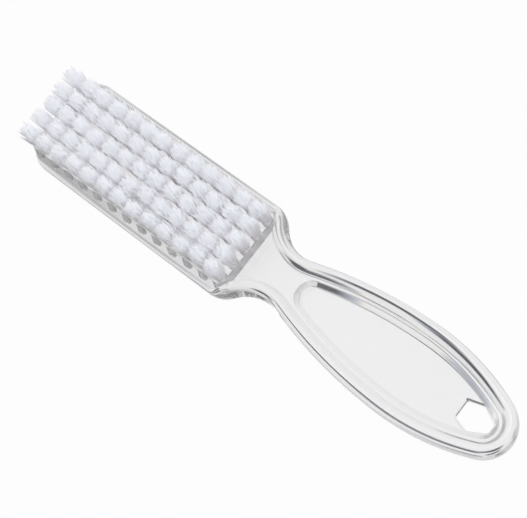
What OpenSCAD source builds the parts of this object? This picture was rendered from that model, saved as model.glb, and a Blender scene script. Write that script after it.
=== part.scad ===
// Hand-held nail brush: a one-piece clear moulding with a tuft block, a neck and an
// oval handle, and rows of nylon tufts that flat metal anchors hold in blind holes.
// The brush lies on its flat back. +X runs from the head to the hanging hole, +Y is
// across it, and +Z is the way the tufts point.

/* [Body outline] */
// Overall length, from the far end of the head to the tip of the handle
overall_length = 154.2; // [150:0.2:175]
// Width of the head
head_width = 29.2; // [27.5:0.1:34]
// Corner radius at the far end of the head
head_corner_r = 7; // [6:0.1:7.4]
// Radius of the shoulder where the head turns in to the neck
shoulder_r = 8; // [6:0.1:10]
// Radius of the hollow side of the neck
neck_r = 11; // [9:0.1:14]
// Distance from the far end of the head to the centre of the shoulder arcs
shoulder_at = 68.3; // [67:0.1:71]
// Widest width of the oval handle
handle_width = 26.8; // [22:0.1:30]
// Distance from the tip of the handle to its widest place
handle_widest_at = 31; // [26:0.1:38]
// Radius of the long curve of the handle's sides, between the neck and the widest place
handle_side_r = 127; // [105:1:160]
// Radius of the handle's tip
handle_tip_r = 8.8; // [7:0.1:10]

/* [Body thickness] */
// Height of the block that holds the tufts, from the flat back
block_height = 6.6; // [6:0.1:9]
// Height of the flat top of the neck and of the shelf round the handle's recess
shelf_height = 3.8; // [3.6:0.1:4.6]
// Height of the rounded bead that runs round the neck and the handle
bead_height = 6; // [5.1:0.1:6.2]
// Height of the low flange that the bead turns into round the head
flange_height = 3; // [2.9:0.1:4]
// Width of the bead
bead_width = 3.7; // [2.8:0.1:4.1]
// Height at which the bead's outer side starts to turn in
bead_side_height = 2; // [1.6:0.1:3]
// Rounding of the lower edge of the outline, measured across the edge
back_edge_width = 1; // [0.6:0.1:1.6]
// Height of the rounding of the lower edge
back_edge_rise = 0.6; // [0.4:0.1:1.4]

/* [Tuft block] */
// Width of the flange, from the outline in to the foot of the block's sloping sides
flange_width = 1.2; // [0.8:0.1:1.3]
// Distance from the outline in to the top edge of the block along its long sides
block_side_margin = 2.8; // [2.4:0.1:3.4]
// Distance from the outline in to the top edge of the block at its far end
block_end_margin = 1.5; // [1.4:0.05:1.6]
// Rounding of the block's top edge
block_edge_r = 0.3; // [0.1:0.05:0.5]
// Corner radius of the block's top at its far end
block_top_corner_r = 0.9; // [0.5:0.1:1.1]
// Corner radius of the block's foot at its far end
block_far_foot_r = 4; // [3.8:0.1:4.4]
// Corner radius of the block's top at its neck end
block_near_corner_r = 0.8; // [0.5:0.1:1]
// Corner radius of the block's foot at its neck end
block_near_foot_r = 2.2; // [1.6:0.1:3]
// Wall left between the last tuft holes and the block's end wall
block_end_wall = 0.3; // [0.25:0.05:0.8]
// How far the foot of that end wall stands out towards the neck
block_end_slope = 1; // [0.2:0.1:1.4]

/* [Handle recess] */
// Width of the handle's rim, from the outline in to the edge of the recess
rim_width = 4.8; // [4.4:0.1:5.6]
// Thickness of the panel at the bottom of the recess
panel_thickness = 2.4; // [1.6:0.1:2.8]
// How far the recess's wall slopes in from its edge to the panel
recess_draft = 0.9; // [0.4:0.1:1.2]
// Radius of the round end of the recess at the neck
recess_end_r = 4.4; // [3.6:0.1:5]

/* [Hanging hole] */
// Distance from the tip of the handle to the rounded side of the hole
hole_tip_margin = 6.1; // [5.9:0.1:9]
// Length of the hole along the handle
hole_length = 9; // [7:0.1:10]
// Width of the hole at its widest
hole_width = 7.6; // [6:0.1:8]
// Width of the hole's flat side that faces the head
hole_flat_width = 5; // [4.6:0.1:6]
// Width of the hole's short side that faces the tip
hole_end_width = 2.3; // [1.5:0.1:4]
// Chamfer round the hole on the panel's top side
hole_chamfer = 0.35; // [0.1:0.05:0.6]

/* [Tufts] */
// Number of tuft rows across the head
tuft_rows = 5; // [3:1:5]
// Distance between tuft columns
column_pitch = 5.53; // [5:0.01:5.54]
// Distance between tuft rows
row_pitch = 4.75; // [4.4:0.05:4.75]
// Diameter of a tuft hole
hole_d = 3; // [2.4:0.1:3.2]
// Depth of a tuft hole
hole_depth = 5.8; // [4.6:0.1:6]
// Height of the tufts over the block
tuft_height = 9.8; // [7:0.1:14]
// Width of a tuft at its tip
tuft_tip_width = 4.4; // [3.4:0.1:4.6]
// Number of strands in a tuft
tuft_strands = 5; // [5:1:6]
// Width of a strand where it leaves the hole
strand_width = 0.9; // [0.5:0.05:0.9]
// Width of a strand at its tip
strand_tip_width = 1.2; // [0.3:0.05:1.3]
// Most that a strand's tip is shorter than the tuft
tip_spread = 0.5; // [0:0.05:1.2]

/* [Anchors] */
// Thickness of the flat wire that an anchor is cut from
anchor_thickness = 0.4; // [0.3:0.05:0.6]
// Height of an anchor
anchor_height = 1.6; // [1:0.1:2]
// How far each end of an anchor bites into the wall of its hole
anchor_bite = 0.3; // [0.15:0.05:0.5]
// Thickness of the folded bristle that lies under an anchor
fold_thickness = 0.7; // [0.5:0.05:1]

/* [Fits] */
// Clearance between a tuft or an anchor and the plastic round it
fit_gap = 0.05; // [0.02:0.01:0.1]

/* [Hidden] */
// Number of tuft columns along the head, one node each
tuft_columns = 13;
// How far a cut runs past the face that it opens
overrun = 1;
// How deep a strand is fused into the root of its tuft
strand_sink = 0.4;
// How far the root of a tuft stays below the rim of its hole
root_drop = 0.2;
// How far the hanging hole's widest place lies from its middle to the head, as a share
hole_widest_share = 0.02;
// Segments of a corner arc, of a long side arc, of the bead's round and of the back edge
corner_steps = 8;
side_steps = 10;
bead_steps = 5;
edge_steps = 3;
// Sides of a tuft hole and of the root that fills it; two of them face along the brush
hole_sides = 8;
// Turns that scatter the strands by column, row and number, and how widely they scatter
scatter_turns = [127.1, 311.7, 74.7];
scatter_reach = 43.7585;

x_head = -overall_length / 2;
x_tip = overall_length / 2;
head_half = head_width / 2;
handle_half = handle_width / 2;
shoulder_c = [x_head + shoulder_at, head_half - shoulder_r];
corner_c = [x_head + head_corner_r, head_half - head_corner_r];
x_widest = x_tip - handle_widest_at;
side_c = [x_widest, handle_half - handle_side_r];
tip_c = [x_tip - handle_tip_r, 0];
// The arc from the widest place to the tip touches both of them
tip_run = tip_c[0] - x_widest;
end_side_r = (tip_run * tip_run + handle_half * handle_half - handle_tip_r * handle_tip_r)
    / (2 * (handle_half - handle_tip_r));
end_side_c = [x_widest, handle_half - end_side_r];
// The hollow side of the neck touches the shoulder and the long side of the handle
neck_c = circle_meet(shoulder_c, shoulder_r + neck_r, side_c, handle_side_r + neck_r);

// The last tuft column stands beside the shoulder arcs, this share of their radius on
column_reach_share = 0.19;
// The bead rises from the flange over this share of the shoulder's radius
bead_rise_share = 0.6;
last_column_x = shoulder_c[0] + shoulder_r * column_reach_share;
block_x_near = last_column_x + hole_d / 2 + block_end_wall;
hole_floor = block_height - hole_depth;
anchor_length = hole_d + 2 * anchor_bite;
anchor_floor = hole_floor + fold_thickness;
root_r = hole_d / 2 - fit_gap;
root_top = block_height - root_drop;
strand_ring_r = root_r * cos(180 / hole_sides) - strand_width / 2 - fit_gap;
tip_ring_r = (tuft_tip_width - strand_tip_width) / 2;

function column_x(column) = last_column_x - (tuft_columns - column) * column_pitch;
function row_y(row) = ((tuft_rows + 1) / 2 - row) * row_pitch;

// The crossing of two circles that lies on the +Y side
function circle_meet(a, ra, b, rb) =
    let (
        apart = b - a,
        d = norm(apart),
        along = (ra * ra - rb * rb + d * d) / (2 * d),
        off = sqrt(ra * ra - along * along),
        u = apart / d
    )
    a + along * u + off * [-u[1], u[0]];

// Points of an arc, from one angle to another, both ends included
function arc(c, r, from, to, steps) =
    [for (i = [0:steps]) c + r * [cos(from + (to - from) * i / steps), sin(from + (to - from) * i / steps)]];

function angle_to(a, b) = atan2(b[1] - a[1], b[0] - a[0]);

// Half of the outline, drawn in by the given inset, from the far end to the tip
function half_outline(inset) =
    let (
        turn_neck = angle_to(shoulder_c, neck_c),
        turn_side = angle_to(side_c, neck_c),
        turn_tip = angle_to(end_side_c, tip_c)
    )
    concat(
        arc(corner_c, head_corner_r - inset, 180, 90, corner_steps),
        arc(shoulder_c, shoulder_r - inset, 90, turn_neck, corner_steps),
        skip_first(arc(neck_c, neck_r + inset, turn_neck - 180, turn_side - 180, corner_steps)),
        skip_first(arc(side_c, handle_side_r - inset, turn_side, 90, side_steps)),
        skip_first(arc(end_side_c, end_side_r - inset, 90, turn_tip, side_steps)),
        skip_first(arc(tip_c, handle_tip_r - inset, turn_tip, 0, corner_steps))
    );

function skip_first(points) = [for (i = [1:len(points) - 1]) points[i]];

// A half and its mirror image as one closed outline; the half's last point is on the axis
function closed(half) =
    concat(half, [for (i = [len(half) - 2:-1:0]) [half[i][0], -half[i][1]]]);

// Half of the recess's edge, drawn in by the given inset from the body's outline
function half_recess(inset) =
    let (
        end_r = recess_end_r + rim_width - inset,
        reach = handle_side_r - inset - end_r,
        drop = handle_side_r - handle_half,
        end_c = [x_widest - sqrt(reach * reach - drop * drop), 0],
        turn_end = angle_to(side_c, end_c),
        turn_tip = angle_to(end_side_c, tip_c)
    )
    concat(
        arc(end_c, end_r, 180, turn_end, corner_steps),
        skip_first(arc(side_c, handle_side_r - inset, turn_end, 90, side_steps)),
        skip_first(arc(end_side_c, end_side_r - inset, 90, turn_tip, side_steps)),
        skip_first(arc(tip_c, handle_tip_r - inset, turn_tip, 0, corner_steps))
    );

// A half that starts and ends on the axis, with its mirror image
function closed_on_axis(half) =
    concat(half, [for (i = [len(half) - 2:-1:1]) [half[i][0], -half[i][1]]]);

// A rectangle with round corners of one radius at the far end and another at the near end
function round_rectangle(x0, x1, half, r0, r1) =
    let (
        side = concat(
            arc([x0 + r0, half - r0], r0, 180, 90, corner_steps),
            arc([x1 - r1, half - r1], r1, 90, 0, corner_steps)
        )
    )
    concat(side, [for (i = [len(side) - 1:-1:0]) [side[i][0], -side[i][1]]]);

// Triangles that fill an outline of n points, zipped up between its two sides
function cap(n) =
    [
        for (i = [0:ceil(n / 2) - 2])
            for (face = [[i, i + 1, n - 2 - i], [i, n - 2 - i, n - 1 - i]])
                if (face[1] < face[2] || face[0] == i && face[1] == n - 2 - i) face
    ];

// Points at one height
function level(outline, height) = [for (p = outline) [p[0], p[1], height]];

// A closed solid through rings of equal point count, from the lowest to the highest
module loft(rings) {
    n = len(rings[0]);
    levels = len(rings);
    points = [for (ring = rings) for (p = ring) p];
    sides = [
        for (k = [0:levels - 2])
            for (i = [0:n - 1])
                for (face = [
                    [k * n + i, (k + 1) * n + (i + 1) % n, (k + 1) * n + i],
                    [k * n + i, k * n + (i + 1) % n, (k + 1) * n + (i + 1) % n]
                ])
                    face
    ];
    high = [for (face = cap(n)) [for (i = face) (levels - 1) * n + i]];
    low = [for (face = cap(n)) [face[2], face[1], face[0]]];
    polyhedron(points = points, faces = concat(low, high, sides), convexity = 6);
}

// How far the bead has risen over the flange, from 0 beside the head to 1 at the neck
function bead_rise(x) =
    let (t = max(0, min(1, (x - shoulder_c[0]) / (shoulder_r * bead_rise_share))))
    t * t * (3 - 2 * t);

// A ring of the slab: on the head, nothing outside the block is higher than the flange
function slab_ring(inset, height) =
    [
        for (p = closed(half_outline(inset)))
            [p[0], p[1], height - (1 - bead_rise(p[0])) * max(0, height - flange_height)]
    ];

// The slab under everything: flat back, rounded lower edge, and the bead round its top
module slab() {
    half_bead = bead_width / 2;
    edge = [for (i = [0:edge_steps]) 90 * i / edge_steps];
    rise = [for (i = [0:bead_steps]) 90 * i / bead_steps];
    insets = concat(
        [for (a = edge) back_edge_width * (1 - sin(a))],
        [for (a = rise) half_bead * (1 - cos(a))],
        [for (a = rise) if (a > 0) half_bead * (1 + sin(a))]
    );
    heights = concat(
        [for (a = edge) back_edge_rise * (1 - cos(a))],
        [for (a = rise) bead_side_height + (bead_height - bead_side_height) * sin(a)],
        [for (a = rise) if (a > 0) shelf_height + (bead_height - shelf_height) * cos(a)]
    );
    last = len(insets) - 1;
    loft(concat(
        [for (k = [0:last - 1]) slab_ring(insets[k], heights[k])],
        [level(closed(half_outline(insets[last])), heights[last])]
    ));
}

// The raised block that the tuft holes are drilled in
module block() {
    foot = round_rectangle(
        x_head + flange_width, block_x_near + block_end_slope, head_half - flange_width,
        block_far_foot_r, block_near_foot_r
    );
    shoulder = round_rectangle(
        x_head + block_end_margin - block_edge_r, block_x_near,
        head_half - block_side_margin + block_edge_r,
        block_top_corner_r + block_edge_r, block_near_corner_r + block_edge_r
    );
    top = round_rectangle(
        x_head + block_end_margin, block_x_near - block_edge_r / 2, head_half - block_side_margin,
        block_top_corner_r, block_near_corner_r
    );
    loft([
        level(foot, panel_thickness),
        level(foot, flange_height),
        level(shoulder, block_height - block_edge_r),
        level(top, block_height)
    ]);
}

// The recess in the handle, down to the panel, with sloping walls
module recess() {
    floor_outline = closed_on_axis(half_recess(rim_width + recess_draft));
    edge_outline = closed_on_axis(half_recess(rim_width));
    loft([
        level(floor_outline, panel_thickness),
        level(edge_outline, shelf_height),
        level(edge_outline, bead_height + overrun)
    ]);
}

// Outline of the hanging hole, grown on all sides by the given amount
function hole_outline(grow) =
    let (
        x1 = x_tip - hole_tip_margin + grow,
        x0 = x_tip - hole_tip_margin - hole_length - grow,
        xm = (x0 + x1) / 2 - hole_length * hole_widest_share,
        flat = hole_flat_width / 2 + grow,
        wide = hole_width / 2 + grow,
        end = hole_end_width / 2 + grow
    )
    [[x0, -flat], [xm, -wide], [x1, -end], [x1, end], [xm, wide], [x0, flat]];

module hanging_hole() {
    translate([0, 0, -overrun])
        linear_extrude(panel_thickness + 2 * overrun) polygon(hole_outline(0));
    grown = hole_outline(hole_chamfer);
    plain = hole_outline(0);
    wide_end = [for (i = [len(grown) - 1:-1:0]) grown[i]];
    narrow_end = [for (i = [len(plain) - 1:-1:0]) plain[i]];
    loft([
        level(narrow_end, panel_thickness - hole_chamfer),
        level(wide_end, panel_thickness),
        level(wide_end, panel_thickness + overrun)
    ]);
}

// The prism of a tuft hole or of its root, with flat sides towards the anchor's ends
module hole_prism(r, height) {
    rotate(180 / hole_sides) cylinder(h = height, r = r, $fn = hole_sides);
}

// The blind holes of the tufts, each with the cut that its anchor bites in the wall
module tuft_holes() {
    for (column = [1:tuft_columns], row = [1:tuft_rows])
        translate([column_x(column), row_y(row), 0]) {
            translate([0, 0, hole_floor]) hole_prism(hole_d / 2, hole_depth + overrun);
            translate([-anchor_length / 2 - fit_gap, -anchor_thickness / 2 - fit_gap, anchor_floor])
                cube([anchor_length + 2 * fit_gap, anchor_thickness + 2 * fit_gap, anchor_height + fit_gap]);
        }
}

module body() {
    color("gainsboro", 0.5)
        difference() {
            union() {
                slab();
                block();
            }
            recess();
            hanging_hole();
            tuft_holes();
        }
}

// A value from 0 to 1 that scatters with the strand's column, row and number
function scatter(column, row, strand) =
    let (v = sin([column, row, strand] * scatter_turns) * scatter_reach)
    v - floor(v);

// One strand with three sides, from the tuft's root to its tip
module strand(foot, tip, spin) {
    low = [for (k = [0:2]) foot + strand_width / 2 * [cos(spin + 120 * k), sin(spin + 120 * k), 0]];
    high = [for (k = [0:2]) tip + strand_tip_width / 2 * [cos(spin + 120 * k), sin(spin + 120 * k), 0]];
    polyhedron(
        points = concat(low, high),
        faces = [[0, 1, 2], [5, 4, 3], [0, 3, 4], [0, 4, 1], [1, 4, 5], [1, 5, 2], [2, 5, 3], [2, 3, 0]]
    );
}

// A tuft: the bundle folded into its hole round the anchor, and its strands
module tuft(column, row) {
    difference() {
        translate([0, 0, hole_floor]) hole_prism(root_r, root_top - hole_floor);
        translate([-hole_d, -anchor_thickness / 2 - fit_gap, anchor_floor - fit_gap])
            cube([2 * hole_d, anchor_thickness + 2 * fit_gap, anchor_height + 2 * fit_gap]);
    }
    for (strand = [1:tuft_strands]) {
        turn = 360 * (strand + scatter(column, row, 0)) / tuft_strands;
        out = [cos(turn), sin(turn), 0];
        drop = tip_spread * scatter(column, row, strand);
        strand(
            strand_ring_r * out + [0, 0, root_top - strand_sink],
            tip_ring_r * out + [0, 0, block_height + tuft_height - drop],
            turn
        );
    }
}

module tuft_column(column) {
    color("ghostwhite")
        for (row = [1:tuft_rows])
            translate([column_x(column), row_y(row), 0]) tuft(column, row);
}

// One anchor: a short length of flat wire on edge across its hole
module anchor_column(column) {
    color("silver")
        for (row = [1:tuft_rows])
            translate([column_x(column) - anchor_length / 2, row_y(row) - anchor_thickness / 2, anchor_floor])
                cube([anchor_length, anchor_thickness, anchor_height]);
}

body();
tuft_column(1);  // tuft_column_01
tuft_column(2);  // tuft_column_02
tuft_column(3);  // tuft_column_03
tuft_column(4);  // tuft_column_04
tuft_column(5);  // tuft_column_05
tuft_column(6);  // tuft_column_06
tuft_column(7);  // tuft_column_07
tuft_column(8);  // tuft_column_08
tuft_column(9);  // tuft_column_09
tuft_column(10);  // tuft_column_10
tuft_column(11);  // tuft_column_11
tuft_column(12);  // tuft_column_12
tuft_column(13);  // tuft_column_13
anchor_column(1);  // anchor_column_01
anchor_column(2);  // anchor_column_02
anchor_column(3);  // anchor_column_03
anchor_column(4);  // anchor_column_04
anchor_column(5);  // anchor_column_05
anchor_column(6);  // anchor_column_06
anchor_column(7);  // anchor_column_07
anchor_column(8);  // anchor_column_08
anchor_column(9);  // anchor_column_09
anchor_column(10);  // anchor_column_10
anchor_column(11);  // anchor_column_11
anchor_column(12);  // anchor_column_12
anchor_column(13);  // anchor_column_13
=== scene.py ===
"""Clear nail brush: the looks of its moulded body, tufts and anchors, and a plain studio."""

import functools
import math

import bmesh
import bpy
import numpy as np
from mathutils import Matrix, Vector


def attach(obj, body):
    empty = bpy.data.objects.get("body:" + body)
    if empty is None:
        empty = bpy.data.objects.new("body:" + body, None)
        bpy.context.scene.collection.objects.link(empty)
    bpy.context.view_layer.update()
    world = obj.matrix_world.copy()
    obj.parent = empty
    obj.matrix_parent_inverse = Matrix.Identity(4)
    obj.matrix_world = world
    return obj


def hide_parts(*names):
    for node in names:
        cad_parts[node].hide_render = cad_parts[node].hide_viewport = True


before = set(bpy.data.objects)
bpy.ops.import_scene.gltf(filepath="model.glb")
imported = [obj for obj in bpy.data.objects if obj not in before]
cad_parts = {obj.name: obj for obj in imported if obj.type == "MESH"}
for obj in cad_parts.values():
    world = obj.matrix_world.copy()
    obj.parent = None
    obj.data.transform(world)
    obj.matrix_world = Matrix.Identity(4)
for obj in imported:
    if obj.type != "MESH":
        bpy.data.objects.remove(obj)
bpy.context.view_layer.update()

bl_info = {
    "name": "Clear nail brush",
    "version": (1, 0, 0),
    "blender": (4, 5, 0),
    "location": "View3D > Sidebar > Nail brush",
    "description": "Builds a clear moulded nail brush with nylon tufts on its packed CAD frame",
    "category": "Object",
}

MM = 0.001
GOLDEN_ANGLE = math.pi * (3 - math.sqrt(5))
QUARTER = math.pi / 2

# Shares of the shoulder's radius: its centre to the last tuft column, and the bead's rise
LAST_COLUMN_SHARE = 0.19
BEAD_RISE_SHARE = 0.6
# How far in radians the bead turns over its crest before the crease begins
BEAD_FALL = 1.25
# Points on the lower edge, the bead's outer and inner side, the crease and the block's edge
EDGE_POINTS, BEAD_POINTS, FALL_POINTS, CREASE_POINTS, BLOCK_EDGE_POINTS = 9, 15, 13, 6, 7
# How many of the bead's rings round the flange's upper edge where there is no bead
FLANGE_EDGE_RINGS = 10
# How far the crease stays under the shelf, so that no face has zero size
CREASE_DROP = 0.001 * MM
# The recess's rounded root stops at this share of a quarter turn, its edge starts at this angle
ROOT_TURN_SHARE = 0.8
EDGE_TURN_START = 0.2
RECESS_ROUND_POINTS = 8
# The hanging hole: its widest place from its middle as a share of its length, and its corners
HOLE_WIDEST_SHARE = 0.02
HOLE_CORNER_CUT = 0.5 * MM
# How far a cutter runs past the face that it opens
OVERRUN = 1 * MM

# Filaments: sides, what a column's number adds to for its random seed, stray, narrower tips
FILAMENT_SIDES = 4
SEED_BASE = 100
PACKING_STRAY = 0.04 * MM
TIP_TAPER_SHARE = 0.6
# Filaments past this share of the packed radius are set this far into the hole's wall
OUTER_SHARE = 0.82
WALL_PRESS = 0.04 * MM
# Depths under the block's top of a tuft's mouth and of the place where it is pressed
MOUTH_DEPTH = 0.2 * MM
PRESS_DEPTH = 0.8 * MM
# A tuft's tips: how their shortening is spread, the dome's height and the squareness each way
SPREAD_POWER = 1.5
DOME = 1.0 * MM
SQUARE_ALONG, SQUARE_ACROSS = 0.5, 0.34
# Where a filament bends, as shares of the way from mouth to tip, and its straight tip
BEND_SHARES = (0.66, 0.66, 0.42)
STRAIGHT_TIP_SHARE = 0.12
# The fold round the anchor: its gaps in filament diameters, its start and its way round
FOLD_GAP_SHARE, FOLD_FLOOR_SHARE = 0.6, 1.3
FOLD_START = 0.2 * MM
FOLD_TURNS = ((0.71, 0.71), (0, 1), (-0.71, 0.71))

# Noises for the finishes: a scale for each axis, and the detail
FLOW_MARKS = (90, 260, 260), 2.0
HANDLING_HAZE = (400, 400, 400), 4.0
STRAND_SHADES = (2600, 2600, 90), 2.0
DRAWN_LINES = (300, 5000, 9000), 3.0
PAPER_GRAIN = (900, 900, 900), 4.0
# Where a noise counts as low and as high
LOW, HIGH = 0.3, 0.7
# Refraction of plastic and nylon, how much flow marks darken, and the haze's roughness
POLYMER_IOR = 1.53
FLOW_SHADE = 0.985
HAZE_STOPS = [(0.45, 0.0), (0.8, 0.035)]
NYLON_ROUGHNESS = [(LOW, 0.7), (HIGH, 0.6)]
NYLON_SPECULAR = 0.25
# Colour of the glow painted on the filaments, which give off light of their own
NYLON_GLOW = (1, 0.985, 0.98, 1)
# Heights between which the painted shade low on the tufts fades, and the share of the way where it
# ends
SHADE_TINT_LOW, SHADE_TINT_HIGH, SHADE_TINT_END_SHARE = 6 * MM, 16 * MM, 0.8
# Where on the noise the duller and the plain nylon lie, and how much the wire's lines darken
SHADE_PLACE, NYLON_PLACE = 0.35, 0.62
WIRE_SHADE = 0.8
WIRE_ROUGHNESS = [(LOW, 0.42), (HIGH, 0.25)]
# Depths of the relief
FLOW_DEPTH, STRAND_DEPTH, LINE_DEPTH = 0.03 * MM, 0.01 * MM, 0.004 * MM
# Slack of the satin roughness: over or short of a face, past the last holes, short of the top
FACE_SLACK, LAST_HOLE_SLACK, TOP_SLACK = 0.02 * MM, 0.1 * MM, 0.05 * MM
# Angles in degrees over which an edge stays sharp, and how much large faces count
BODY_SHARP, TUFT_SHARP, FLAT_WEIGHT = 32, 60, 90

FLOOR_SIDE = 3.0
FLOOR_GAP = 0.05 * MM
PAPER_TONES = [(LOW, 0.42), (HIGH, 0.45)]
PAPER_ROUGHNESS = 0.9
LAMP_PLACE, LAMP_SIDE = (0.25, 0.35, 0.7), 0.5
CLEAR_BOUNCES, MATT_BOUNCES = 32, 24
SENSOR_WIDTH = 36
CLIP_START, CLIP_END = 0.01, 20
# Brightness of the lit table by the place along and across the brush, in millimetres
TABLE_REACH = 400 * MM
TABLE_ALONG = [
    (-400, 0.45), (-220, 0.5), (-150, 0.86), (-58, 0.93), (-20, 0.97), (90, 0.97), (130, 0.5),
    (400, 0.5),
]
TABLE_ACROSS = [
    (-400, 0.4), (-320, 0.45), (-270, 0.85), (-100, 0.97), (60, 0.97), (250, 0.8), (320, 0.5),
    (400, 0.4),
]
# Soft dark cards on the table: place, half length and half width in millimetres, darkest tone
TABLE_CARDS = [
    (-62, 85, 44, 45, 0.06), (-45, 165, 50, 45, 0.06), (38, 66, 48, 34, 0.06),
    (0, 43, 52, 22, 0.06), (60, 185, 50, 36, 0.06), (110, -120, 70, 40, 0.06),
    (-98, -14, 66, 34, 0.5), (-112, 132, 66, 60, 0.8),
]
# How much of a card's darkness shows in red, green and blue, from its edge to its middle
CARD_DEPTHS = [
    (0.0, (0.0, 0.0, 0.0)), (0.2, (0.0, 0.06, 0.14)), (0.35, (0.53, 0.51, 0.43)),
    (0.6, (1.0, 1.0, 0.99)),
]
# Tones of the room that the plastic sees and of the soft light by height, and from -Y to +Y
ROOM_TONES = [(0.0, 0.5), (0.5, 0.5), (0.72, 0.55), (0.88, 1.0)]
SOFT_TONES = [(0.0, 0.42), (0.4, 0.8), (0.85, 1.15)]
SKY_ACROSS = [(0.0, 0.2), (0.5, 0.95), (1.0, 1.45)]


def length(name, description, millimetres):
    """A length that is given in millimetres and kept in metres."""
    return bpy.props.FloatProperty(
        name=name, description=description, default=millimetres * MM,
        precision=5, subtype="DISTANCE", unit="LENGTH",
    )


def share(name, description, value):
    """A share from 0 to 1."""
    return bpy.props.FloatProperty(
        name=name, description=description, default=value, min=0, max=1, subtype="FACTOR"
    )


def angle(name, description, degrees):
    """An angle that is given in degrees and kept in radians."""
    return bpy.props.FloatProperty(
        name=name, description=description, default=math.radians(degrees), subtype="ANGLE"
    )


def count(name, description, value):
    """A whole number of like things."""
    return bpy.props.IntProperty(name=name, description=description, default=value, min=1)


def amount(name, description, value):
    """A plain number of 0 or more."""
    return bpy.props.FloatProperty(name=name, description=description, default=value, min=0)


def colour(name, description, value):
    """A colour in linear light."""
    return bpy.props.FloatVectorProperty(
        name=name, description=description, default=value, size=3, min=0, max=1, subtype="COLOR"
    )


class BodySizes(bpy.types.PropertyGroup):
    """Sizes of the clear moulding."""

    overall_length: length("Overall length", "From the far end of the head to the tip", 154.2)
    head_width: length("Head width", "Width of the head", 29.2)
    head_corner: length("Head corner", "Corner radius at the far end of the head", 7)
    shoulder: length("Shoulder", "Radius where the head turns in to the neck", 8)
    shoulder_at: length("Shoulder place", "From the far end to the shoulder's centre", 68.3)
    neck: length("Neck", "Radius of the hollow side of the neck", 11)
    handle_width: length("Handle width", "Widest width of the oval handle", 26.8)
    handle_widest_at: length("Widest place", "From the tip to the handle's widest place", 31)
    handle_side: length("Handle side", "Radius of the long curve of the handle's sides", 127)
    handle_tip: length("Handle tip", "Radius of the handle's tip", 8.8)
    block_height: length("Block height", "Height of the tuft block from the flat back", 6.6)
    shelf_height: length("Shelf height", "Height of the flat neck and of the shelf", 3.8)
    bead_height: length("Bead height", "Height of the rounded bead", 6.0)
    flange_height: length("Flange height", "Height of the flange round the head", 3.0)
    bead_width: length("Bead width", "Width of the bead", 3.7)
    bead_side: length("Bead side", "Height at which the bead's outer side turns in", 2.0)
    bead_root: length("Bead root", "Rounding of the crease between bead and shelf", 0.35)
    back_edge: length("Back edge", "Rounding of the lower edge, across the edge", 1.0)
    back_rise: length("Back rise", "Height of the rounding of the lower edge", 0.6)
    flange_edge: length("Flange edge", "Rounding of the flange's upper edge", 0.7)
    flange_width: length("Flange width", "From the outline to the foot of the block", 1.2)
    side_margin: length("Side margin", "From the outline to the block's top, at its sides", 2.8)
    end_margin: length("End margin", "From the outline to the block's top, at its end", 1.5)
    block_edge: length("Block edge", "Rounding of the block's top edge", 0.35)
    far_top_corner: length("Far top corner", "Corner radius of the block's top, far end", 0.9)
    far_foot_corner: length("Far foot corner", "Corner radius of the block's foot, far end", 4)
    near_top_corner: length("Near top corner", "Corner radius of the block's top, neck end", 0.8)
    near_foot_corner: length("Near foot corner", "Corner radius of the block's foot, neck end", 2.2)
    end_wall: length("End wall", "Wall between the last tuft holes and the neck", 0.3)
    end_slope: length("End slope", "How far the end wall's foot stands out towards the neck", 1.0)
    rim_width: length("Rim width", "From the outline in to the edge of the recess", 4.8)
    panel: length("Panel", "Thickness of the panel in the handle", 2.4)
    draft: length("Draft", "How far the recess's wall slopes in", 0.9)
    recess_end: length("Recess end", "Radius of the recess's round end at the neck", 4.4)
    recess_edge: length("Recess edge", "Rounding of the recess's upper edge", 0.3)
    recess_root: length("Recess root", "Rounding where the recess's wall meets the panel", 0.45)
    hole_margin: length("Hole margin", "From the tip to the hanging hole", 6.1)
    hole_length: length("Hole length", "Length of the hanging hole", 9)
    hole_width: length("Hole width", "Widest width of the hanging hole", 7.6)
    hole_flat: length("Hole flat", "Width of its flat side towards the head", 5)
    hole_end: length("Hole end", "Width of its short side towards the tip", 2.3)
    hole_chamfer: length("Hole chamfer", "Chamfer round the hanging hole", 0.35)


class TuftSizes(bpy.types.PropertyGroup):
    """Sizes and numbers of the tufts."""

    rows: count("Rows", "Tuft rows across the head", 5)
    columns: count("Columns", "Tuft columns along the head", 13)
    column_pitch: length("Column pitch", "Distance between tuft columns", 5.53)
    row_pitch: length("Row pitch", "Distance between tuft rows", 4.75)
    hole: length("Tuft hole", "Diameter of a tuft hole", 3)
    depth: length("Hole depth", "Depth of a tuft hole", 5.8)
    height: length("Tuft height", "Height of the tufts over the block", 9.8)
    tip_width: length("Tip width", "Width of a tuft at its tip, across the head", 5.0)
    tip_length: length("Tip length", "Length of a tuft at its tip, along the head", 6.0)
    filaments: count("Filaments", "Filaments folded into one hole", 130)
    filament: length("Filament", "Diameter of a filament", 0.16)
    tip_spread: length("Tip spread", "Most that a filament is shorter than its tuft", 0.9)
    wander: length("Wander", "How far a filament's tip strays sideways", 0.42)
    lean: length("Lean", "How far a whole tuft leans its own way at its tips", 0.15)
    anchor_thickness: length("Anchor thickness", "Thickness of the anchor's wire", 0.4)
    anchor_floor: length("Anchor floor", "Height of the anchor's lower edge", 1.5)
    anchor_height: length("Anchor height", "Height of an anchor", 1.6)


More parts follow.
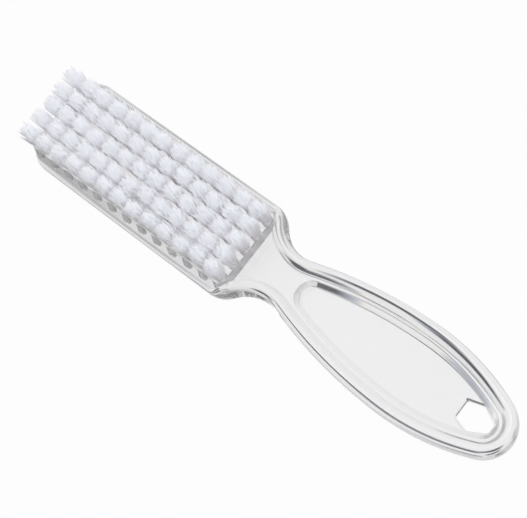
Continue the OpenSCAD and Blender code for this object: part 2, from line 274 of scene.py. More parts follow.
class Finishes(bpy.types.PropertyGroup):
    """Colours of the plastic, the nylon and the wire, the nylon's painted shade and painted glow,
    and how satin the plastic's walls are.
    """

    plastic: colour("Plastic", "Tint of the clear plastic", (0.985, 0.984, 0.992))
    satin: share("Satin holes", "Roughness of the walls of the tuft holes", 0.4)
    end_satin: share("Satin end", "Roughness of the block's end wall at the neck", 0.75)
    nylon: colour("Nylon", "Colour of the filaments", (0.98, 0.985, 0.995))
    # Painted shade: the filaments are tinted darker and warmer low down, where shade falls
    nylon_low_shade: colour("Nylon low shade", "Painted shade, darker and warmer low on the filaments", (0.99, 0.965, 0.97))
    nylon_shade: colour("Nylon shade", "Duller filaments among them", (0.966, 0.971, 0.985))
    # Painted glow: the filaments give off a little light, which lifts the shade deep in the tufts
    painted_glow: amount("Painted glow", "Glow painted on the filaments, which lifts their shade", 0.012)
    wire: colour("Wire", "Colour of the anchors' flat wire", (0.72, 0.71, 0.69))


class Studio(bpy.types.PropertyGroup):
    """The camera's place and the light."""

    azimuth: angle("Azimuth", "Camera's turn about the upright axis", 75.0)
    elevation: angle("Elevation", "Camera's angle over the floor", 68.34)
    roll: angle("Roll", "Camera's turn about its own line of sight", -37.92)
    distance: length("Distance", "From the camera to the point it looks at", 351.3)
    aim_x: length("Aim along", "The point looked at, along the brush", -3.27)
    aim_y: length("Aim across", "The point looked at, across the brush", 1.26)
    lens: amount("Lens", "Focal length in millimetres", 91.54)
    sky: amount("Sky", "Strength of the soft light from all round", 1.1)
    lamp: amount("Lamp", "Power of the overhead lamp in watts", 1.0)
    floor_share: share("Floor light", "Share of the floor's white that shadows leave", 0.97)
    through_share: share(
        "Floor through plastic", "How much of the lit table the plastic sees", 0.85
    )
    table_drop: length("Table drop", "From the brush down to the lit table", 120)


def arc(centre, radius, start, stop, steps):
    """Points of an arc and its outward directions; the angles are in radians."""
    turn = np.linspace(start, stop, steps + 1)
    out = np.stack([np.cos(turn), np.sin(turn)], axis=1)
    return np.asarray(centre) + radius * out, out


def angle_to(a, b):
    """The direction from one point to another, in radians."""
    return math.atan2(b[1] - a[1], b[0] - a[0])


def circle_meet(a, ra, b, rb):
    """The crossing of two circles that lies on the +Y side."""
    a, b = np.asarray(a), np.asarray(b)
    apart = b - a
    d = np.linalg.norm(apart)
    along = (ra * ra - rb * rb + d * d) / (2 * d)
    off = math.sqrt(ra * ra - along * along)
    u = apart / d
    return a + along * u + off * np.array([-u[1], u[0]])


class Plan:
    """The centres and radii of the body's outline, and the places of the tufts."""

    CORNER_STEPS = 28
    SIDE_STEPS = 48

    def __init__(self, s, t):
        self.s, self.t = s, t
        self.x_head, self.x_tip = -s.overall_length / 2, s.overall_length / 2
        head_half, self.handle_half = s.head_width / 2, s.handle_width / 2
        self.shoulder_c = (self.x_head + s.shoulder_at, head_half - s.shoulder)
        self.corner_c = (self.x_head + s.head_corner, head_half - s.head_corner)
        self.x_widest = self.x_tip - s.handle_widest_at
        self.side_c = (self.x_widest, self.handle_half - s.handle_side)
        self.tip_c = (self.x_tip - s.handle_tip, 0.0)
        run = self.tip_c[0] - self.x_widest
        self.end_side = (run * run + self.handle_half ** 2 - s.handle_tip ** 2) / (
            2 * (self.handle_half - s.handle_tip)
        )
        self.end_side_c = (self.x_widest, self.handle_half - self.end_side)
        self.neck_c = circle_meet(
            self.shoulder_c, s.shoulder + s.neck, self.side_c, s.handle_side + s.neck
        )
        self.last_column = self.shoulder_c[0] + s.shoulder * LAST_COLUMN_SHARE
        self.x_near = self.last_column + t.hole / 2 + s.end_wall
        self.head_half = head_half

    def column_x(self, column):
        """The place of a tuft column along the brush; the first is at the far end."""
        return self.last_column - (self.t.columns - column) * self.t.column_pitch

    def row_y(self, row):
        """The place of a tuft row across the brush; the first is on the +Y side."""
        return ((self.t.rows + 1) / 2 - row) * self.t.row_pitch

    def outline(self):
        """The outline's points, and the direction that leads inwards at each."""
        s = self.s
        turn_neck = angle_to(self.shoulder_c, self.neck_c)
        turn_side = angle_to(self.side_c, self.neck_c)
        turn_tip = angle_to(self.end_side_c, self.tip_c)
        half = math.pi
        pieces = [
            (self.corner_c, s.head_corner, half, QUARTER, self.CORNER_STEPS, -1),
            (self.shoulder_c, s.shoulder, QUARTER, turn_neck, self.CORNER_STEPS, -1),
            (self.neck_c, s.neck, turn_neck - half, turn_side - half, self.CORNER_STEPS, 1),
            (self.side_c, s.handle_side, turn_side, QUARTER, self.SIDE_STEPS, -1),
            (self.end_side_c, self.end_side, QUARTER, turn_tip, self.SIDE_STEPS, -1),
            (self.tip_c, s.handle_tip, turn_tip, 0, self.CORNER_STEPS, -1),
        ]
        points, inward = [], []
        for number, (centre, radius, start, stop, steps, sign) in enumerate(pieces):
            p, out = arc(centre, radius, start, stop, steps)
            keep = slice(0 if number < 2 else 1, None)
            points.append(p[keep])
            inward.append(sign * out[keep])
        return mirrored(np.concatenate(points), 1), mirrored(np.concatenate(inward), 1)

    def recess_outline(self, inset):
        """The outline of the handle's recess, this far in from the body's outline."""
        s = self.s
        end_r = s.recess_end + s.rim_width - inset
        reach = s.handle_side - inset - end_r
        drop = s.handle_side - self.handle_half
        end_c = (self.x_widest - math.sqrt(reach * reach - drop * drop), 0.0)
        turn_end = angle_to(self.side_c, end_c)
        turn_tip = angle_to(self.end_side_c, self.tip_c)
        half = np.concatenate([
            arc(end_c, end_r, math.pi, turn_end, self.CORNER_STEPS)[0],
            arc(self.side_c, s.handle_side - inset, turn_end, QUARTER, self.SIDE_STEPS)[0][1:],
            arc(self.end_side_c, self.end_side - inset, QUARTER, turn_tip, self.SIDE_STEPS)[0][1:],
            arc(self.tip_c, s.handle_tip - inset, turn_tip, 0, self.CORNER_STEPS)[0][1:],
        ])
        return np.concatenate([half, half[-2:0:-1] * (1, -1)])


def mirrored(half, shared):
    """A half outline and its mirror image, which share the half's last points."""
    back = half[::-1][shared:] * (1, -1)
    return np.concatenate([half, back])


def round_rectangle(x0, x1, half, far_r, near_r, steps=16):
    """A rectangle with round corners, from the far end round by +Y to the near end and back."""
    side = np.concatenate([
        arc((x0 + far_r, half - far_r), far_r, math.pi, QUARTER, steps)[0],
        arc((x1 - near_r, half - near_r), near_r, QUARTER, 0, steps)[0],
    ])
    return mirrored(side, 0)


def at_height(outline, height):
    """Outline points with a height, which is one number or one for each point."""
    return np.column_stack([outline, np.broadcast_to(height, len(outline))])


def loft(rings):
    """Vertices and faces of a closed solid through rings of equal point count."""
    n = len(rings[0])
    faces = [tuple(range(n)), tuple(range(n * (len(rings) - 1), n * len(rings)))]
    for low in range(0, n * (len(rings) - 1), n):
        for i in range(n):
            j = (i + 1) % n
            faces.append((low + i, low + j, low + n + j, low + n + i))
    return np.concatenate(rings), faces


def mesh_object(name, solids):
    """One object from several closed solids, with all faces turned outwards."""
    vertices, faces = [], []
    for points, polygons in solids:
        start = len(vertices)
        vertices.extend(map(tuple, points))
        faces.extend(tuple(start + i for i in polygon) for polygon in polygons)
    mesh = bpy.data.meshes.new(name)
    mesh.from_pydata(vertices, [], faces)
    shape = bmesh.new()
    shape.from_mesh(mesh)
    bmesh.ops.recalc_face_normals(shape, faces=shape.faces)
    shape.to_mesh(mesh)
    shape.free()
    made = bpy.data.objects.new(name, mesh)
    bpy.context.scene.collection.objects.link(made)
    return made


def combine(target, tool, operation):
    """Joins the tool to the target or cuts it out, and removes the tool."""
    step = target.modifiers.new("combine", "BOOLEAN")
    step.operation, step.solver, step.object = operation, "EXACT", tool
    graph = bpy.context.evaluated_depsgraph_get()
    mesh = bpy.data.meshes.new_from_object(target.evaluated_get(graph))
    target.modifiers.clear()
    target.data = mesh
    bpy.data.objects.remove(tool)


def smooth_ramp(t):
    """0 up to 0, 1 from 1 on, and a smooth rise between."""
    t = np.clip(t, 0, 1)
    return t * t * (3 - 2 * t)


def slab(plan):
    """The slab under everything: flat back, rounded lower edge and the bead round its top."""
    s = plan.s
    points, inward = plan.outline()
    rise = smooth_ramp((points[:, 0] - plan.shoulder_c[0]) / (s.shoulder * BEAD_RISE_SHARE))
    half_bead = s.bead_width / 2
    low = np.linspace(0, QUARTER, EDGE_POINTS)
    high = np.linspace(0, QUARTER, BEAD_POINTS)
    fall = np.linspace(0, BEAD_FALL, FALL_POINTS)[1:]
    edge = [(s.back_edge * (1 - math.sin(a)), s.back_rise * (1 - math.cos(a))) for a in low]
    bead = [
        (half_bead * (1 - math.cos(a)), s.bead_side + (s.bead_height - s.bead_side) * math.sin(a))
        for a in high
    ]
    drop = s.bead_height - s.shelf_height
    bead += [(half_bead * (1 + math.sin(a)), s.shelf_height + drop * math.cos(a)) for a in fall]
    last_inset, last_height = bead[-1]
    for t in np.linspace(0, 1, CREASE_POINTS)[1:]:
        bead.append((
            last_inset + t * (s.bead_width + s.bead_root - last_inset),
            s.shelf_height + (last_height - s.shelf_height) * (1 - t) ** 2,
        ))
    flat = []
    for number in range(len(bead)):
        turn = min(number / FLANGE_EDGE_RINGS, 1) * QUARTER
        over = max(0, number - FLANGE_EDGE_RINGS) / (len(bead) - 1 - FLANGE_EDGE_RINGS)
        inset = s.flange_edge * (1 - math.cos(turn))
        height = s.flange_height - s.flange_edge * (1 - math.sin(turn))
        flat.append((inset + over * (bead[-1][0] - s.flange_edge), height))
    rings = []
    for inset, height in edge:
        rings.append(at_height(points + inset * inward, height))
    for (bead_inset, bead_z), (flat_inset, flat_z) in zip(bead, flat):
        inset = (flat_inset + rise * (bead_inset - flat_inset))[:, None]
        rings.append(at_height(points + inset * inward, flat_z + rise * (bead_z - flat_z)))
    rings.append(at_height(points + inset * inward, s.shelf_height))
    rings[-2][:, 2] = np.minimum(rings[-2][:, 2], s.shelf_height - CREASE_DROP)
    return loft(rings)


def block(plan):
    """The raised block that the tuft holes are drilled in."""
    s = plan.s

    def ring(up, shrink, height):
        """Up is 0 at the foot and 1 at the top; the ring shrinks by this much all round."""

        def between(foot, top):
            """The size that this ring has, between its sizes at the foot and at the top."""
            return foot + up * (top - foot)

        return at_height(
            round_rectangle(
                plan.x_head + between(s.flange_width, s.end_margin) + shrink,
                plan.x_near + between(s.end_slope, 0) - shrink,
                plan.head_half - between(s.flange_width, s.side_margin) - shrink,
                between(s.far_foot_corner, s.far_top_corner + s.block_edge) - shrink,
                between(s.near_foot_corner, s.near_top_corner + s.block_edge) - shrink,
            ),
            height,
        )

    rings = [ring(0, 0, s.panel), ring(0, 0, s.flange_height)]
    rings.append(ring(1, 0, s.block_height - s.block_edge))
    for a in np.linspace(0, QUARTER, BLOCK_EDGE_POINTS)[1:]:
        rings.append(ring(
            1, s.block_edge * (1 - math.cos(a)), s.block_height - s.block_edge * (1 - math.sin(a))
        ))
    return loft(rings)


def recess(plan):
    """The cutter for the handle's recess, with sloping walls and rounded edges."""
    s = plan.s
    profile = []
    for a in np.linspace(0, QUARTER * ROOT_TURN_SHARE, RECESS_ROUND_POINTS):
        profile.append((
            s.rim_width + s.draft + s.recess_root * (1 - math.sin(a)),
            s.panel + s.recess_root * (1 - math.cos(a)),
        ))
    for a in np.linspace(EDGE_TURN_START, QUARTER, RECESS_ROUND_POINTS):
        profile.append((
            s.rim_width - s.recess_edge * (1 - math.cos(a)),
            s.shelf_height - s.recess_edge * (1 - math.sin(a)),
        ))
    profile.append((profile[-1][0], s.bead_height + OVERRUN))
    return loft([at_height(plan.recess_outline(inset), height) for inset, height in profile])


def hanging_hole(plan):
    """The cutter for the six-sided hanging hole, with a chamfer on both faces of the panel."""
    s = plan.s

    def ring(grow, height):
        """The hole's outline, grown by this much, at a height."""
        x1 = plan.x_tip - s.hole_margin + grow
        x0 = plan.x_tip - s.hole_margin - s.hole_length - grow
        middle = (x0 + x1) / 2 - s.hole_length * HOLE_WIDEST_SHARE
        flat, wide, end = s.hole_flat / 2 + grow, s.hole_width / 2 + grow, s.hole_end / 2 + grow
        corners = np.array([
            (x0, -flat), (middle, -wide), (x1, -end), (x1, end), (middle, wide), (x0, flat)
        ])
        return at_height(soften(corners, HOLE_CORNER_CUT), height)

    rings = [ring(s.hole_chamfer, -OVERRUN), ring(s.hole_chamfer, 0)]
    rings += [ring(0, s.hole_chamfer), ring(0, s.panel - s.hole_chamfer)]
    rings += [ring(s.hole_chamfer, s.panel), ring(s.hole_chamfer, s.panel + OVERRUN)]
    return loft(rings)


def soften(corners, cut, steps=5):
    """Rounds each corner of a polygon, from this far before it to this far after it."""
    points = []
    for before, corner, after in zip(np.roll(corners, 1, 0), corners, np.roll(corners, -1, 0)):
        start = corner + cut * (before - corner) / np.linalg.norm(before - corner)
        stop = corner + cut * (after - corner) / np.linalg.norm(after - corner)
        for t in np.linspace(0, 1, steps + 1):
            points.append((1 - t) ** 2 * start + 2 * t * (1 - t) * corner + t * t * stop)
    return np.array(points)


def tuft_holes(plan, sides=32):
    """The cutters for the blind holes of all tufts."""
    s, t = plan.s, plan.t
    around = np.linspace(0, 2 * math.pi, sides, endpoint=False)
    circle = t.hole / 2 * np.stack([np.cos(around), np.sin(around)], axis=1)
    solids = []
    for column in range(1, t.columns + 1):
        for row in range(1, t.rows + 1):
            middle = circle + (plan.column_x(column), plan.row_y(row))
            solids.append(loft([
                at_height(middle, s.block_height - t.depth),
                at_height(middle, s.block_height + OVERRUN),
            ]))
    return solids


def tube(path, radii, sides):
    """Vertices and faces of a closed tube along a path, round in section."""
    path = np.asarray(path)
    along = np.gradient(path, axis=0)
    along /= np.linalg.norm(along, axis=1)[:, None]
    side = np.cross(along, (1.0, 0.0, 0.0))
    side /= np.linalg.norm(side, axis=1)[:, None]
    other = np.cross(along, side)
    around = np.linspace(0, 2 * math.pi, sides, endpoint=False)
    rings = [
        p + r * (np.outer(np.cos(around), u) + np.outer(np.sin(around), v))
        for p, r, u, v in zip(path, radii, side, other)
    ]
    return loft(rings)


def tuft(plan, x, y, draw):
    """One tuft: filaments folded round their anchor, packed in the hole and flaring to the tips."""
    s, t = plan.s, plan.t
    floor = s.block_height - t.depth
    packed = t.hole / 2 - t.filament
    flare = np.array([t.tip_length, t.tip_width]) / 2 / (packed + t.wander)
    beside = t.anchor_thickness / 2 + t.filament * FOLD_GAP_SHARE
    spin = draw.uniform(0, 2 * math.pi)
    leaning = draw.normal(0, t.lean, 2)
    solids = []

    def pressed(across, along, height):
        """A point down in the hole, where the outer filaments are pressed to its wall."""
        from_axis = math.hypot(across, along)
        reach = t.hole / 2 - t.filament / 2 + WALL_PRESS
        spread = reach / from_axis if from_axis > OUTER_SHARE * packed else 1
        return np.array([across * spread, along * spread, height])

    for number in range(t.filaments):
        ends = []
        radius = packed * math.sqrt((number + 0.5) / t.filaments)
        turn = spin + number * GOLDEN_ANGLE
        for side in (1, -1):
            px = radius * math.cos(turn) + draw.normal(0, PACKING_STRAY)
            py = side * abs(radius * math.sin(turn)) + draw.normal(0, PACKING_STRAY)
            squeezed = side * (beside + abs(py) * (packed - beside) / packed)
            stray = leaning + draw.normal(0, t.wander, 2)
            tip_z = s.block_height + t.height - draw.uniform(0, 1) ** SPREAD_POWER * t.tip_spread
            tip_z -= DOME * (radius / packed) ** 2
            mouth = np.array([px, py, s.block_height - MOUTH_DEPTH])
            fuller = np.array([SQUARE_ALONG * py * py, SQUARE_ACROSS * px * px])
            square = 1 + fuller / (packed * packed)
            tip = np.array([*(np.array([px, py]) * square * flare + stray), tip_z])
            bend = mouth + BEND_SHARES * (tip - mouth)
            ends.append([
                tip, tip + STRAIGHT_TIP_SHARE * (bend - tip), bend, mouth,
                pressed(px, py, s.block_height - PRESS_DEPTH),
                pressed(px, squeezed, t.anchor_floor + t.anchor_height),
                pressed(px, squeezed, t.anchor_floor + FOLD_START),
            ])
        deep = t.anchor_floor - t.filament * FOLD_GAP_SHARE - (radius / packed) * (
            t.anchor_floor - floor - t.filament * FOLD_FLOOR_SHARE
        )
        first, second = ends[0][-1], ends[1][-1]
        fold = [
            first * (0.5 + 0.5 * c) + second * (0.5 - 0.5 * c) - (0, 0, d * (first[2] - deep))
            for c, d in FOLD_TURNS
        ]
        path = np.array(ends[0] + fold + ends[1][::-1]) + (x, y, 0)
        radii = np.full(len(path), t.filament / 2)
        radii[[0, -1]] *= TIP_TAPER_SHARE
        solids.append(tube(path, radii, FILAMENT_SIDES))
    return solids


def node_material(name):
    """A new material with its Principled shader, its node list and its links."""
    material = bpy.data.materials.new(name)
    material.use_nodes = True
    nodes, links = material.node_tree.nodes, material.node_tree.links
    return material, nodes["Principled BSDF"], nodes, links


def place_on(nodes, links, scale):
    """Object coordinates stretched by a scale for each axis."""
    place = nodes.new("ShaderNodeTexCoord")
    stretch = nodes.new("ShaderNodeMapping")
    stretch.inputs["Scale"].default_value = scale
    links.new(place.outputs["Object"], stretch.inputs["Vector"])
    return stretch.outputs["Vector"]


def noise(nodes, links, scale, detail):
    """A noise value over the object."""
    made = nodes.new("ShaderNodeTexNoise")
    made.inputs["Scale"].default_value = 1.0
    made.inputs["Detail"].default_value = detail
    links.new(place_on(nodes, links, scale), made.inputs["Vector"])
    return made.outputs["Fac"]


def ramp(nodes, links, value, stops):
    """A colour ramp over a value; a stop is a place and a colour."""
    made = nodes.new("ShaderNodeValToRGB")
    elements = made.color_ramp.elements
    while len(elements) < len(stops):
        elements.new(0.5)
    for element, (place, tone) in zip(elements, stops):
        element.position = place
        element.color = (*tone, 1) if hasattr(tone, "__len__") else (tone, tone, tone, 1)
    links.new(value, made.inputs["Fac"])
    return made.outputs["Color"]


def bump(nodes, links, value, depth, shader):
    """Relief of this depth in metres on the shader."""
    made = nodes.new("ShaderNodeBump")
    made.inputs["Strength"].default_value = 1.0
    made.inputs["Distance"].default_value = depth
    links.new(value, made.inputs["Height"])
    links.new(made.outputs["Normal"], shader.inputs["Normal"])


def worked_out(nodes, links, operation, *values):
    """One step of arithmetic on values, each an output or a constant."""
    made = nodes.new("ShaderNodeMath")
    made.operation = operation
    for place, value in zip(made.inputs, values):
        if isinstance(value, (int, float)):
            place.default_value = value
        else:
            links.new(value, place)
    return made.outputs[0]


def axes(nodes, links, kind="Object"):
    """The place along X, Y and Z in one kind of coordinates."""
    place, split = nodes.new("ShaderNodeTexCoord"), nodes.new("ShaderNodeSeparateXYZ")
    links.new(place.outputs[kind], split.inputs["Vector"])
    return [split.outputs[axis] for axis in "XYZ"]


def ranged(nodes, links, value, low, high):
    """A value as its share of the way from low to high."""
    made = nodes.new("ShaderNodeMapRange")
    made.inputs["From Min"].default_value = low
    made.inputs["From Max"].default_value = high
    links.new(value, made.inputs["Value"])
    return made.outputs["Result"]


def on_colours(nodes, links, operation, one, other):
    """One step of arithmetic on two colours."""
    made = nodes.new("ShaderNodeVectorMath")
    made.operation = operation
    links.new(one, made.inputs[0])
    links.new(other, made.inputs[1])
    return made.outputs[0]


def satin_walls(nodes, links, plan, finishes):
    """The roughness that the tuft holes and the block's end wall have, and other faces lack."""
    s, t = plan.s, plan.t
    x, y, z = axes(nodes, links)
    step = functools.partial(worked_out, nodes, links)

    def where_all(tests, roughness):
        """The roughness where all tests hold, and 0 elsewhere."""
        for test in tests:
            roughness = step("MULTIPLY", test, roughness)
        return roughness

    from_last = step("SUBTRACT", x, plan.last_column)
    along = step("WRAP", from_last, t.column_pitch / 2, -t.column_pitch / 2)
    across = step("WRAP", y, t.row_pitch / 2, -t.row_pitch / 2)
    from_axis = step("SQRT", step(
        "ADD", step("MULTIPLY", along, along), step("MULTIPLY", across, across)
    ))
    holes = where_all([
        step("LESS_THAN", from_axis, t.hole / 2 + FACE_SLACK),
        step("LESS_THAN", from_last, t.hole / 2 + LAST_HOLE_SLACK),
        step("LESS_THAN", step("ABSOLUTE", y), t.rows * t.row_pitch / 2),
        step("LESS_THAN", z, s.block_height - TOP_SLACK),
        step("GREATER_THAN", z, (s.block_height - t.depth) / 2),
    ], finishes.satin)
    end_wall = where_all([
        step("GREATER_THAN", x, plan.x_near - FACE_SLACK),
        step("LESS_THAN", x, plan.x_near + s.end_slope),
        step("GREATER_THAN", z, s.shelf_height + FACE_SLACK),
        step("LESS_THAN", z, s.block_height - s.block_edge),
        step("LESS_THAN", step("ABSOLUTE", y), plan.head_half - s.bead_width - s.bead_root),
    ], finishes.end_satin)
    return step("MAXIMUM", holes, end_wall)


def clear_plastic(finishes, plan):
    """Clear moulded styrene with faint flow marks, handling haze and satin walls."""
    material, shader, nodes, links = node_material("clear_styrene")
    tint = tuple(finishes.plastic)
    flow = noise(nodes, links, *FLOW_MARKS)
    haze = noise(nodes, links, *HANDLING_HAZE)
    links.new(
        ramp(nodes, links, flow, [(LOW, tuple(c * FLOW_SHADE for c in tint)), (HIGH, tint)]),
        shader.inputs["Base Color"],
    )
    satin = satin_walls(nodes, links, plan, finishes)
    rough = worked_out(nodes, links, "ADD", ramp(nodes, links, haze, HAZE_STOPS), satin)
    links.new(rough, shader.inputs["Roughness"])
    shader.inputs["IOR"].default_value = POLYMER_IOR
    shader.inputs["Transmission Weight"].default_value = 1.0
    bump(nodes, links, flow, FLOW_DEPTH, shader)
    return material


def nylon(finishes):
    """Pale nylon filament, duller here and there, with painted shade that makes it darker and
    warmer low down, and a painted glow.
    """
    material, shader, nodes, links = node_material("nylon_filament")
    strands = noise(nodes, links, *STRAND_SHADES)
    # Painted shade: darker and warmer low on the tufts, fading towards the tips
    rise = ranged(nodes, links, axes(nodes, links)[2], SHADE_TINT_LOW, SHADE_TINT_HIGH)
    tint = ramp(nodes, links, rise, [
        (0.0, tuple(finishes.nylon_low_shade)), (SHADE_TINT_END_SHARE, (1.0, 1.0, 1.0))
    ])
    tone = ramp(nodes, links, strands, [
        (SHADE_PLACE, tuple(finishes.nylon_shade)), (NYLON_PLACE, tuple(finishes.nylon))
    ])
    links.new(on_colours(nodes, links, "MULTIPLY", tint, tone), shader.inputs["Base Color"])
    links.new(ramp(nodes, links, strands, NYLON_ROUGHNESS), shader.inputs["Roughness"])
    shader.inputs["IOR"].default_value = POLYMER_IOR
    shader.inputs["Specular IOR Level"].default_value = NYLON_SPECULAR
    # Painted glow: the nylon gives off a little light of its own, which lifts the shade between
    # filaments
    shader.inputs["Emission Color"].default_value = NYLON_GLOW
    shader.inputs["Emission Strength"].default_value = finishes.painted_glow
    material.cycles.emission_sampling = "NONE"
    bump(nodes, links, strands, STRAND_DEPTH, shader)
    return material


def flat_wire(finishes):
    """Drawn metal strip with fine lines along it."""
    material, shader, nodes, links = node_material("drawn_wire")
    lines = noise(nodes, links, *DRAWN_LINES)
    tone = tuple(finishes.wire)
    links.new(
        ramp(nodes, links, lines, [(LOW, tuple(c * WIRE_SHADE for c in tone)), (HIGH, tone)]),
        shader.inputs["Base Color"],
    )
    links.new(ramp(nodes, links, lines, WIRE_ROUGHNESS), shader.inputs["Roughness"])
    shader.inputs["Metallic"].default_value = 1.0
    bump(nodes, links, lines, LINE_DEPTH, shader)
    return material


def shade(made, material, sharp_degrees):
    """Smooth shading that breaks at edges sharper than the given angle."""
    mesh = made.data
    mesh.materials.clear()
    mesh.materials.append(material)
    mesh.polygons.foreach_set("use_smooth", [True] * len(mesh.polygons))
    mesh.set_sharp_from_angle(angle=math.radians(sharp_degrees))


class NAILBRUSH_OT_body(bpy.types.Operator):
    """Build the clear moulding with its recess, hanging hole and tuft holes"""

    bl_idname = "nailbrush.body"
    bl_label = "Clear body"

    def execute(self, context):
        scene = context.scene
        plan = Plan(scene.nailbrush_body, scene.nailbrush_tufts)
        made = mesh_object("clear_body", [slab(plan)])
        combine(made, mesh_object("block", [block(plan)]), "UNION")
        combine(made, mesh_object("recess", [recess(plan)]), "DIFFERENCE")
        cutters = [hanging_hole(plan), *tuft_holes(plan)]
        combine(made, mesh_object("holes", cutters), "DIFFERENCE")
        shade(made, clear_plastic(scene.nailbrush_finishes, plan), BODY_SHARP)
        weigh = made.modifiers.new("flat faces stay flat", "WEIGHTED_NORMAL")
        weigh.keep_sharp, weigh.weight = True, FLAT_WEIGHT
        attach(made, "root")
        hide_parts("body")
        return {"FINISHED"}


class NAILBRUSH_OT_tufts(bpy.types.Operator):
    """Build the tufts of nylon filament, one object for each column"""

    bl_idname = "nailbrush.tufts"
    bl_label = "Nylon tufts"

    def execute(self, context):
        scene = context.scene
        plan = Plan(scene.nailbrush_body, scene.nailbrush_tufts)
        material = nylon(scene.nailbrush_finishes)
        for column in range(1, plan.t.columns + 1):
            draw = np.random.default_rng(SEED_BASE + column)
            solids = []
            for row in range(1, plan.t.rows + 1):
                solids += tuft(plan, plan.column_x(column), plan.row_y(row), draw)
            made = mesh_object(f"nylon_tufts_{column:02d}", solids)
            shade(made, material, TUFT_SHARP)
            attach(made, "root")
            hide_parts(f"tuft_column_{column:02d}")
        return {"FINISHED"}


class NAILBRUSH_OT_anchors(bpy.types.Operator):
    """Give the anchors that hold the tufts their drawn metal finish"""

    bl_idname = "nailbrush.anchors"
    bl_label = "Wire anchors"

    def execute(self, context):
        material = flat_wire(context.scene.nailbrush_finishes)
        for name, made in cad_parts.items():
            if name.startswith("anchor_column"):
                made.data.materials.clear()
                made.data.materials.append(material)
        return {"FINISHED"}


class NAILBRUSH_OT_stage(bpy.types.Operator):
    """Set up the pale floor, the soft light and the camera"""

    bl_idname = "nailbrush.stage"
    bl_label = "Studio"

    def execute(self, context):
        scene, studio = context.scene, context.scene.nailbrush_studio
        floor = mesh_object("floor", [floor_sheet(FLOOR_SIDE, FLOOR_GAP)])
        floor.data.materials.append(floor_material(studio.floor_share, studio.through_share))
        table = mesh_object("lit_table", [floor_sheet(FLOOR_SIDE, studio.table_drop)])
        table.data.materials.append(table_material())
        scene.world = sky(studio.sky)
        soft_lamp("overhead", LAMP_PLACE, LAMP_SIDE, studio.lamp)
        scene.camera = camera(studio)
        scene.view_settings.view_transform = "Standard"
        scene.cycles.max_bounces = scene.cycles.transmission_bounces = CLEAR_BOUNCES
        scene.cycles.diffuse_bounces = MATT_BOUNCES
        return {"FINISHED"}


def floor_sheet(side, drop):
    """A square sheet that lies this far under the brush."""
    half = side / 2
    square = np.array([(-half, -half), (half, -half), (half, half), (-half, half)])
    return at_height(square, -drop), [(0, 1, 2, 3)]


def blend(nodes, links, part, under, over):
    """A mix of two surface shaders."""
    made = nodes.new("ShaderNodeMixShader")
    for number, value in enumerate((part, under, over)):
        links.new(value, made.inputs[number])
    return made.outputs["Shader"]


def blend_colours(nodes, links, part, under, over):
    """A mix of two colours, each an output or a constant grey."""
    made = nodes.new("ShaderNodeMix")
    made.data_type = "RGBA"
    links.new(part, made.inputs["Factor"])
    for name, value in (("A", under), ("B", over)):
        if isinstance(value, float):
            made.inputs[name].default_value = (value, value, value, 1)
        else:
            links.new(value, made.inputs[name])
    return made.outputs["Result"]


def floor_material(light_share, through_share):
    """Matt white paper that looks white to the camera and lets the plastic see the lit table."""
    material, shader, nodes, links = node_material("white_paper")
    grain = noise(nodes, links, *PAPER_GRAIN)
    links.new(ramp(nodes, links, grain, PAPER_TONES), shader.inputs["Base Color"])
    shader.inputs["Roughness"].default_value = PAPER_ROUGHNESS
    shader.inputs["Specular IOR Level"].default_value = 0.0
    path = nodes.new("ShaderNodeLightPath")
    white, clear = nodes.new("ShaderNodeEmission"), nodes.new("ShaderNodeBsdfTransparent")
    step = functools.partial(worked_out, nodes, links)
    through = step("MAXIMUM", path.outputs["Is Glossy Ray"], path.outputs["Is Transmission Ray"])
    seen = blend(
        nodes, links, step("MULTIPLY", through, through_share),
        shader.outputs["BSDF"], clear.outputs["BSDF"],
    )
    shown = blend(
        nodes, links, step("MULTIPLY", path.outputs["Is Camera Ray"], light_share),
        seen, white.outputs["Emission"],
    )
    links.new(shown, nodes["Material Output"].inputs["Surface"])
    return material


def table_material():
    """The lit table far under the floor: a white middle, duller ends and soft dark cards."""
    material, _, nodes, links = node_material("lit_table")
    x, y, _ = axes(nodes, links)
    tones = []
    for place, stops in ((x, TABLE_ALONG), (y, TABLE_ACROSS)):
        part = ranged(nodes, links, place, -TABLE_REACH, TABLE_REACH)
        places = [((at * MM + TABLE_REACH) / (2 * TABLE_REACH), tone) for at, tone in stops]
        tones.append(ramp(nodes, links, part, places))
    tone = on_colours(nodes, links, "MINIMUM", *tones)
    flat = nodes.new("ShaderNodeCombineXYZ")
    links.new(x, flat.inputs["X"])
    links.new(y, flat.inputs["Y"])
    for along, across, half_length, half_width, darkest in TABLE_CARDS:
        card, round_card = nodes.new("ShaderNodeMapping"), nodes.new("ShaderNodeTexGradient")
        card.vector_type = "TEXTURE"
        card.inputs["Location"].default_value = (along * MM, across * MM, 0)
        card.inputs["Scale"].default_value = (half_length * MM, half_width * MM, 1)
        round_card.gradient_type = "SPHERICAL"
        links.new(flat.outputs["Vector"], card.inputs["Vector"])
        links.new(card.outputs["Vector"], round_card.inputs["Vector"])
        shadow = ramp(nodes, links, round_card.outputs["Fac"], [
            (at, tuple(1 - (1 - darkest) * depth for depth in depths)) for at, depths in CARD_DEPTHS
        ])
        tone = on_colours(nodes, links, "MINIMUM", tone, shadow)
    glow = nodes.new("ShaderNodeEmission")
    links.new(tone, glow.inputs["Color"])
    links.new(glow.outputs["Emission"], nodes["Material Output"].inputs["Surface"])
    return material


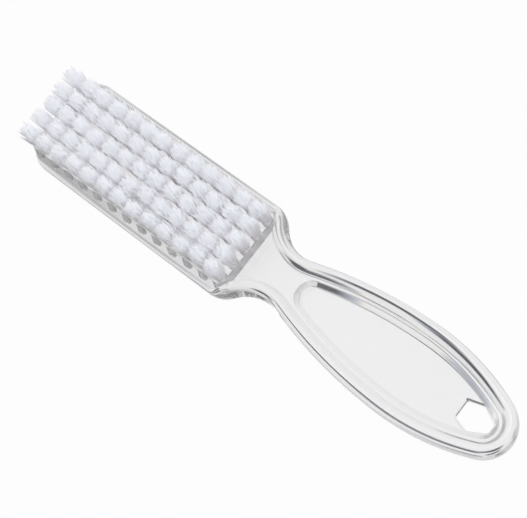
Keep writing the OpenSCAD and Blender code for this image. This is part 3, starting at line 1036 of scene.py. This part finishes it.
def sky(level):
    """Soft light all round, stronger from +Y; the clear plastic sees a duller room instead."""
    world = bpy.data.worlds.new("studio_sky")
    world.use_nodes = True
    nodes, links = world.node_tree.nodes, world.node_tree.links
    path = nodes.new("ShaderNodeLightPath")
    _, side, height = axes(nodes, links, "Generated")
    room = ramp(nodes, links, height, ROOM_TONES)
    soft = ramp(nodes, links, height, SOFT_TONES)
    across = ramp(nodes, links, ranged(nodes, links, side, -1, 1), SKY_ACROSS)
    light = nodes.new("ShaderNodeVectorMath")
    light.operation = "SCALE"
    links.new(on_colours(nodes, links, "MULTIPLY", soft, across), light.inputs[0])
    light.inputs["Scale"].default_value = level
    lit = worked_out(nodes, links, "MINIMUM", path.outputs["Diffuse Depth"], 1)
    inside = blend_colours(nodes, links, lit, room, light.outputs[0])
    links.new(
        blend_colours(nodes, links, path.outputs["Is Camera Ray"], inside, 1.0),
        nodes["Background"].inputs["Color"],
    )
    return world


def soft_lamp(name, place, side, power):
    """A square soft lamp that faces the middle of the brush."""
    light = bpy.data.lights.new(name, "AREA")
    light.shape, light.size, light.energy = "SQUARE", side, power
    made = bpy.data.objects.new(name, light)
    made.location = place
    made.rotation_euler = (-Vector(place)).to_track_quat("-Z", "Y").to_euler()
    bpy.context.scene.collection.objects.link(made)


def camera(studio):
    """The camera, placed by its turn, its height over the floor, its roll and its distance."""
    a, e, r = studio.azimuth, studio.elevation, studio.roll
    back = Vector((math.sin(a) * math.cos(e), -math.cos(a) * math.cos(e), math.sin(e)))
    right = Vector((0, 0, 1)).cross(back).normalized()
    up = back.cross(right)
    turned = math.cos(r) * right + math.sin(r) * up, math.cos(r) * up - math.sin(r) * right
    made = bpy.data.objects.new("camera", bpy.data.cameras.new("camera"))
    place = Vector((studio.aim_x, studio.aim_y, 0)) + studio.distance * back
    made.matrix_world = Matrix.Translation(place) @ Matrix((*turned, back)).transposed().to_4x4()
    made.data.sensor_width, made.data.lens = SENSOR_WIDTH, studio.lens
    made.data.clip_start, made.data.clip_end = CLIP_START, CLIP_END
    bpy.context.scene.collection.objects.link(made)
    return made


class NAILBRUSH_PT_panel(bpy.types.Panel):
    """The nail brush's steps and settings"""

    bl_label = "Nail brush"
    bl_space_type = "VIEW_3D"
    bl_region_type = "UI"
    bl_category = "Nail brush"

    def draw(self, context):
        for group, _ in GROUPS:
            settings = getattr(context.scene, group)
            box = self.layout.box()
            for name in settings.__annotations__:
                box.prop(settings, name)
        for step in STEPS:
            self.layout.operator(step.bl_idname)


GROUPS = (
    ("nailbrush_body", BodySizes),
    ("nailbrush_tufts", TuftSizes),
    ("nailbrush_finishes", Finishes),
    ("nailbrush_studio", Studio),
)
STEPS = (NAILBRUSH_OT_body, NAILBRUSH_OT_tufts, NAILBRUSH_OT_anchors, NAILBRUSH_OT_stage)


def register():
    """Adds the groups of values, the steps and the panel to Blender."""
    for made in (*(group for _, group in GROUPS), *STEPS, NAILBRUSH_PT_panel):
        bpy.utils.register_class(made)
    for name, group in GROUPS:
        setattr(bpy.types.Scene, name, bpy.props.PointerProperty(type=group))


def unregister():
    """Takes the panel, the steps and the groups of values out again."""
    for name, _ in GROUPS:
        delattr(bpy.types.Scene, name)
    for made in (NAILBRUSH_PT_panel, *reversed(STEPS), *(group for _, group in GROUPS)):
        bpy.utils.unregister_class(made)


def main():
    """Builds the brush and its studio."""
    register()
    bpy.ops.nailbrush.body()
    bpy.ops.nailbrush.tufts()
    bpy.ops.nailbrush.anchors()
    bpy.ops.nailbrush.stage()


if __name__ == "__main__":
    main()
